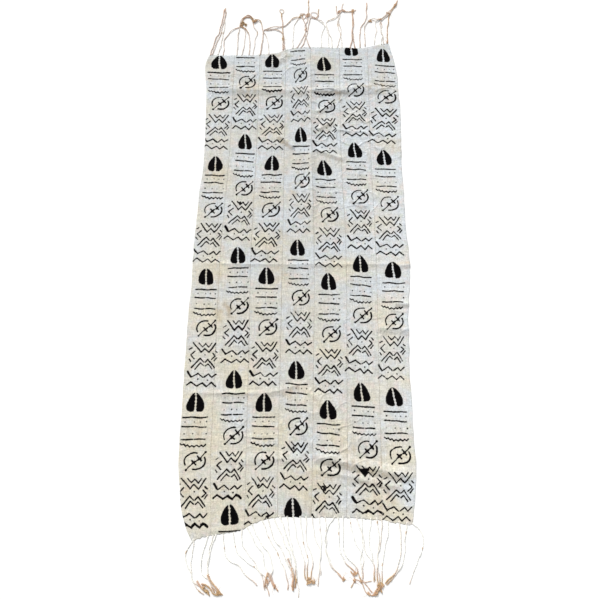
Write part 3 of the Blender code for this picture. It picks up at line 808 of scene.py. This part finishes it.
headKnots = (
    (-238, 968, 8, 7, 6, 1.0, 8), (-192, 977, 11, 6, 6, 1.0, 8), (-245, 955, 6, 7, 5, 0.95, 6),
    (-228, 961, 5, 5, 5, 0.95, 5), (-79, 897, 4, 9, 4, 0.8, 5), (18, 1006, 8, 10, 6, 0.8, 8),
    (10, 940, 4, 8, 4, 0.7, 4),
    (143, 1023, 7, 7, 4, 0.85, 6), (160, 1029, 6, 4, 4, 0.8, 5), (196, 1027, 5, 8, 5, 0.85, 6),
    (303, 990, 12, 5, 5, 0.95, 7), (338, 1017, 9, 6, 5, 0.95, 7), (264, 982, 7, 5, 4, 0.9, 5),
    (364, 1056, 6, 9, 4, 0.9, 5), (329, 888, 3, 5, 3, 0.9, 4),
)
# x, y and half size of the small open loops, how brown
headLoops = (
    (-86, 1024, 8, 0.6), (43, 1008, 12, 0.5), (-2, 1003, 11, 0.6),
)


def smoothCourse(places, step):
    # Catmull-Rom line through the places, then read again at equal steps of its length
    p = np.concatenate([[2 * places[0] - places[1]], places, [2 * places[-1] - places[-2]]])
    t = np.linspace(0, 1, 24, endpoint=False)[None, :, None]
    a, b, c, d = p[:-3, None], p[1:-2, None], p[2:-1, None], p[3:, None]
    line = 0.5 * (2 * b + (c - a) * t + (2 * a - 5 * b + 4 * c - d) * t**2 + (3 * b - a - 3 * c + d) * t**3)
    line = np.concatenate([line.reshape(-1, p.shape[1]), places[-1:]])
    gone = np.concatenate([[0], np.cumsum(np.linalg.norm(np.diff(line, axis=0), axis=1))])
    reach = np.linspace(0, gone[-1], max(int(gone[-1] / step), 6))
    return np.stack([np.interp(reach, gone, line[:, k]) for k in range(p.shape[1])], 1), reach


def roundTube(course, radius, sides):
    # rings of places round a course: centre + radius (cos s side + sin s up), with a face at each end
    way = np.gradient(course, axis=0)
    way /= np.linalg.norm(way, axis=1)[:, None]
    side = np.stack([way[:, 1], -way[:, 0], np.zeros(len(way))], 1)
    side /= np.maximum(np.linalg.norm(side, axis=1), 1e-9)[:, None]
    up = np.cross(side, way)
    s = np.linspace(0, 2 * np.pi, sides, endpoint=False)[None, :, None]
    rings = course[:, None] + radius[:, None, None] * (np.cos(s) * side[:, None] + np.sin(s) * up[:, None])
    number = np.arange(len(course) * sides).reshape(len(course), sides)
    after = np.roll(number, -1, axis=1)
    quads = np.stack([number[:-1], after[:-1], after[1:], number[1:]], 2).reshape(-1, 4)
    caps = np.stack([number[0, ::-1], number[-1]])
    return rings.reshape(-1, 3), quads, caps


class YarnHeap:
    # gathers many tubes, with how brown each place is, into one mesh
    def __init__(self):
        self.places, self.quads, self.caps, self.brown, self.count = [], [], [], [], 0

    def put(self, course, radius, brown, sides=yarn["sides"]):
        places, quads, caps = roundTube(course, radius, sides)
        places[:, 2] = np.maximum(places[:, 2], 0.00005)
        self.places.append(places)
        self.quads.append(quads + self.count)
        self.caps.append(caps + self.count)
        self.brown.append(np.repeat(np.broadcast_to(brown, len(course)), sides))
        self.count += len(places)

    def mesh(self, name):
        sizes = sorted({c.shape[1] for c in self.caps})
        caps = [np.concatenate([c for c in self.caps if c.shape[1] == n]) for n in sizes]
        mesh = makeMesh(name, np.concatenate(self.places), [np.concatenate(self.quads), *caps])
        setPointValues(mesh, "brown", np.concatenate(self.brown))
        return mesh


def layStrand(heap, thick, rootBrown, tipBrown, places, draw, outward):
    # two plies wind round the course, or five finer ones in a thick bundle: centre + apart (cos turn
    # aside + sin turn up), further apart where they leave the cloth and where they fray at the tip
    flat = np.array(places, float) * mm
    flat[0, 1] -= outward * 0.006
    course, reach = smoothCourse(flat, yarn["step"])
    length = reach[-1]
    wander = np.stack([noiseWaves(reach, reach * 0, 0.05, int(draw.integers(1e6)), 5) for _ in range(3)], 1)
    away = easeIn(reach / 0.03)[:, None]
    course = course + 0.0011 * away * wander[:, :2]
    ply, apart = yarn["plyRadius"] * thick, yarn["plyApart"] * thick
    plies = 2 if thick < yarn["bundleFrom"] else yarn["bundlePlies"]
    ply = ply if plies == 2 else ply * yarn["bundlePly"]
    splay = np.exp(-reach / yarn["splayReach"]) + 0.8 * np.exp(-(length - reach) / 0.008)
    apart = apart + yarn["splay"] * splay
    lift = 0.0013 * np.clip(wander[:, 2], 0, 2) * away[:, 0] * easeIn((length - reach) / 0.02)
    z = ply + yarn["plyApart"] * thick + lift
    turn = 2 * np.pi * reach / (yarn["twist"] * draw.uniform(0.8, 1.3)) + draw.uniform(0, 6)
    way = np.gradient(course, axis=0)
    side = np.stack([way[:, 1], -way[:, 0]], 1) / np.linalg.norm(way, axis=1)[:, None]
    brown = rootBrown + (tipBrown - rootBrown) * easeIn((reach / length - 0.64) / 0.32)
    fuller = 1 + 0.16 * noiseWaves(reach, reach * 0, 0.011, int(draw.integers(1e6)), 6)
    taper = 0.35 + 0.65 * easeIn((length - reach) / 0.006)
    for first in np.arange(plies) * 2 * np.pi / plies:
        shift = apart * np.cos(turn + first)
        flatRise = yarn["plyApart"] * thick * np.sin(turn + first)
        centre = np.column_stack([course + side * shift[:, None], z + flatRise])
        heap.put(centre, ply * fuller * taper, brown)


def layKnot(heap, x, y, wide, long, high, brown, turns, draw):
    # a matted end: a yarn on a path of random harmonics inside a low mound, and stray fibres from it
    t = np.linspace(0, 1, turns * 22)
    path = np.zeros((len(t), 3))
    for harmonic in (1, 2, 3, 4, 5):
        path += draw.uniform(0.5, 1, 3) * np.sin(
            2 * np.pi * t[:, None] * (harmonic * turns / 5.3) + draw.uniform(0, 6, 3))
    path /= np.abs(path).max(0)
    centre = np.array((x, y, 0)) * mm
    scale = np.array((wide, long, high / 2)) * mm
    course = centre + path * scale + np.array((0, 0, high / 2 * mm))
    course[:, 2] = np.maximum(course[:, 2], yarn["knotRadius"])
    heap.put(course, yarn["knotRadius"] * (1 + 0.2 * np.sin(9 * t)), brown)
    for _ in range(yarn["strayHairs"]):
        start = centre + scale * np.array((*draw.uniform(-0.8, 0.8, 2), 0.8))
        turn, reach = draw.uniform(0, 2 * np.pi), draw.uniform(0.006, 0.016)
        bend = turn + draw.uniform(-1.2, 1.2)
        end = start + reach * np.array((np.cos(turn), np.sin(turn), 0))
        tip = end + reach * 0.6 * np.array((np.cos(bend), np.sin(bend), 0))
        end[2], tip[2] = 0.0012, 0.0006
        strand, gone = smoothCourse(np.array([start, end, tip]), 0.0022)
        heap.put(strand, 0.00028 * (1 - 0.6 * gone / gone[-1]), brown, 3)


def layLoop(heap, x, y, size, brown, draw):
    # a small open ring of yarn, a little out of round
    t = np.linspace(0, 2 * np.pi * 1.04, 40)
    ripple = 1 + 0.12 * np.sin(2 * t + draw.uniform(0, 6)) + 0.07 * np.sin(3 * t)
    course = np.stack([x + size * ripple * np.cos(t), y + size * 1.15 * ripple * np.sin(t)], 1) * mm
    heap.put(np.column_stack([course, 0.0016 + 0.0006 * np.sin(t)]), np.full(len(t), 0.00095), brown)


def hangFringe(name, node, courses, knots, loops, outward, seed, material):
    heap, draw = YarnHeap(), np.random.default_rng(seed)
    for thick, rootBrown, tipBrown, places in courses:
        layStrand(heap, thick, rootBrown, tipBrown, places, draw, outward)
    for knot in knots:
        layKnot(heap, *knot, draw)
    for loop in loops:
        layLoop(heap, *loop, draw)
    piece = addPiece(heap.mesh(name), material)
    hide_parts(node)
    return piece


yarnLook = {
    "pale": (0.965, 0.955, 0.895),
    "ash": (0.66, 0.515, 0.43),
    "tan": (0.69, 0.455, 0.32),
    "goldenTan": (0.62, 0.45, 0.24),
    "rust": (0.42, 0.235, 0.115),
}


def makeYarn():
    # from pale cotton through ash and tan to rust by how brown a place is, with fine fibres for bump
    material, tree, shader = newMaterial("loose_cotton_yarn")
    add, calc, blend, spread, noise, stretched, attribute = shaderTools(tree)
    where = add("TexCoord").outputs["Object"]
    patch = noise(where, 120.0, 3.0, 0.6)
    brown = calc("ADD", attribute("brown"), calc("MULTIPLY", calc("SUBTRACT", patch, 0.5), 0.7), clamp=True)
    brown = calc("ADD", brown, calc("MULTIPLY", spread(noise(where, 42.0, 1.0), 0.66, 0.70), 0.7), clamp=True)
    tan = blend(spread(noise(where, 21.0, 2.0), 0.42, 0.58), rgba("tan", yarnLook), rgba("goldenTan", yarnLook))
    tone = blend(spread(brown, 0.06, 0.5), rgba("pale", yarnLook), rgba("ash", yarnLook))
    tone = blend(spread(brown, 0.5, 0.85), tone, tan)
    tone = blend(spread(brown, 0.7, 1.25), tone, rgba("rust", yarnLook))
    fibre = noise(where, 1400.0, 3.0, 0.7)
    shade = spread(fibre, 0.3, 0.7, 0.85, 1.1)
    tone = blend(1.0, tone, add("CombineColor", [(0, shade), (1, shade), (2, shade)]).outputs[0], "MULTIPLY")
    tree.links.new(tone, shader.inputs["Base Color"])
    bump = add("Bump", [("Strength", 0.5), ("Distance", 0.0004), ("Height", fibre)])
    tree.links.new(bump.outputs[0], shader.inputs["Normal"])
    shader.inputs["Roughness"].default_value = 0.9
    shader.inputs["Specular IOR Level"].default_value = 0.2
    shader.inputs["Sheen Weight"].default_value = 0.2
    return material


def sewSeams(material):
    # every stitch is a low arch over its seam: aside from -reach to reach, ahead by the slant, up by an
    # arch that dips into the cloth at both ends
    sew = seamSewing
    places, quads, caps, count = [], [], [], 0
    for seam in range(1, clothPlan["stripCount"]):
        stitches = int(1.72 / sew["pitch"])
        draw = np.random.default_rng(900 + seam)
        part = (np.arange(stitches) + 0.5 + draw.uniform(-0.18, 0.18, stitches)) / stitches
        part = 0.004 + 0.992 * part
        x, y = planPlace(seam - 1, np.ones_like(part), part)
        z = lyingHeight(x, y, part) + wovenStrip["thickness"]
        near, _ = planPlace(seam - 1, np.full_like(part, 0.97), part)
        z = (z + strayHeight(near, y, np.full_like(part, 0.97)) * 0.8) * hemThinning(part)
        s = np.linspace(-1, 1, sew["stations"])[None, :]
        lean = draw.uniform(0.5, 1.4, stitches)[:, None]
        centre = np.stack([
            x[:, None] + s * sew["reach"], y[:, None] + s * sew["slant"] * lean / 2,
            np.maximum(z[:, None] + sew["radius"] * (1.5 - 3.4 * s**4), 2 * sew["radius"]),
        ], 2)
        turn = np.linspace(0, 2 * np.pi, sew["sides"], endpoint=False)
        ring = np.stack([np.zeros_like(turn), np.cos(turn), np.sin(turn)], 1) * sew["radius"]
        shape = centre[:, :, None] + ring[None, None]
        number = np.arange(shape[..., 0].size).reshape(shape.shape[:3]) + count
        after = np.roll(number, -1, axis=2)
        quads.append(np.stack([number[:, :-1], after[:, :-1], after[:, 1:], number[:, 1:]], 3).reshape(-1, 4))
        caps.append(np.concatenate([number[:, 0, ::-1], number[:, -1]]))
        places.append(shape.reshape(-1, 3))
        count += len(places[-1])
    mesh = makeMesh("seam_sewing", np.concatenate(places), [np.concatenate(quads), np.concatenate(caps)])
    setPointValues(mesh, "brown", np.full(count, 0.12))
    piece = addPiece(mesh, material)
    return piece


# where the cloth is seen from, and the light on it
view = {
    "place": (0.0020, -0.5321, 1.6872),
    "tilt": 0.2221,
    "turn": 0.0124,
    "roll": -0.0031,
    "lens": 30.0,
    "sunFrom": (-0.28, 0.77, 0.60),
    "sunStrength": 3.3,
    "sunSpread": 24,
    "skyStrength": 0.52,
    "floorColour": (0.95, 0.95, 0.95),
    "floorReach": 25,
}


def placeCamera():
    camera = bpy.data.objects.new("view_camera", bpy.data.cameras.new("view_camera"))
    bpy.context.scene.collection.objects.link(camera)
    camera.data.lens = view["lens"]
    camera.data.clip_start = 0.01
    camera.matrix_world = (
        Matrix.Translation(Vector(view["place"])) @ Matrix.Rotation(view["turn"], 4, "Z")
        @ Matrix.Rotation(view["tilt"], 4, "X") @ Matrix.Rotation(view["roll"], 4, "Z")
    )
    bpy.context.scene.camera = camera


def lightRoom():
    sun = bpy.data.objects.new("window_light", bpy.data.lights.new("window_light", "SUN"))
    bpy.context.scene.collection.objects.link(sun)
    sun.rotation_euler = Vector(view["sunFrom"]).to_track_quat("Z", "Y").to_euler()
    sun.data.energy = view["sunStrength"]
    sun.data.angle = np.radians(view["sunSpread"])
    sun.data.color = (1.0, 0.985, 0.96)
    world = bpy.data.worlds.new("pale_room")
    world.use_nodes = True
    background = world.node_tree.nodes["Background"]
    background.inputs["Color"].default_value = (0.97, 0.985, 1.0, 1)
    background.inputs["Strength"].default_value = view["skyStrength"]
    bpy.context.scene.world = world
    bpy.context.scene.view_settings.view_transform = "Standard"


def layFloor():
    # one level sheet just under the cloth
    corners = np.array([(-1, -1, 0), (1, -1, 0), (1, 1, 0), (-1, 1, 0)], float) * view["floorReach"]
    corners[:, 2] = -0.0002
    mesh = makeMesh("floor", corners, [np.array([[0, 1, 2, 3]])])
    material, tree, shader = newMaterial("pale_floor")
    shader.inputs["Base Color"].default_value = (*view["floorColour"], 1)
    shader.inputs["Roughness"].default_value = 0.95
    shader.inputs["Specular IOR Level"].default_value = 0.0
    mesh.materials.append(material)
    floor = bpy.data.objects.new("floor", mesh)
    bpy.context.scene.collection.objects.link(floor)


print("stage: camera, light and floor")
placeCamera()
lightRoom()
layFloor()

print("stage: woven strips")
cotton = makeCotton()
strips = [weaveStrip(strip, cotton) for strip in range(clothPlan["stripCount"])]

print("stage: fringes and sewing")
looseYarn = makeYarn()
footFringe = hangFringe("foot_fringe", "fringe_bottom", footCourses, footKnots, (), -1, 61, looseYarn)
headFringe = hangFringe("head_fringe", "fringe_top", headCourses, headKnots, headLoops, 1, 62, looseYarn)
sewing = sewSeams(looseYarn)
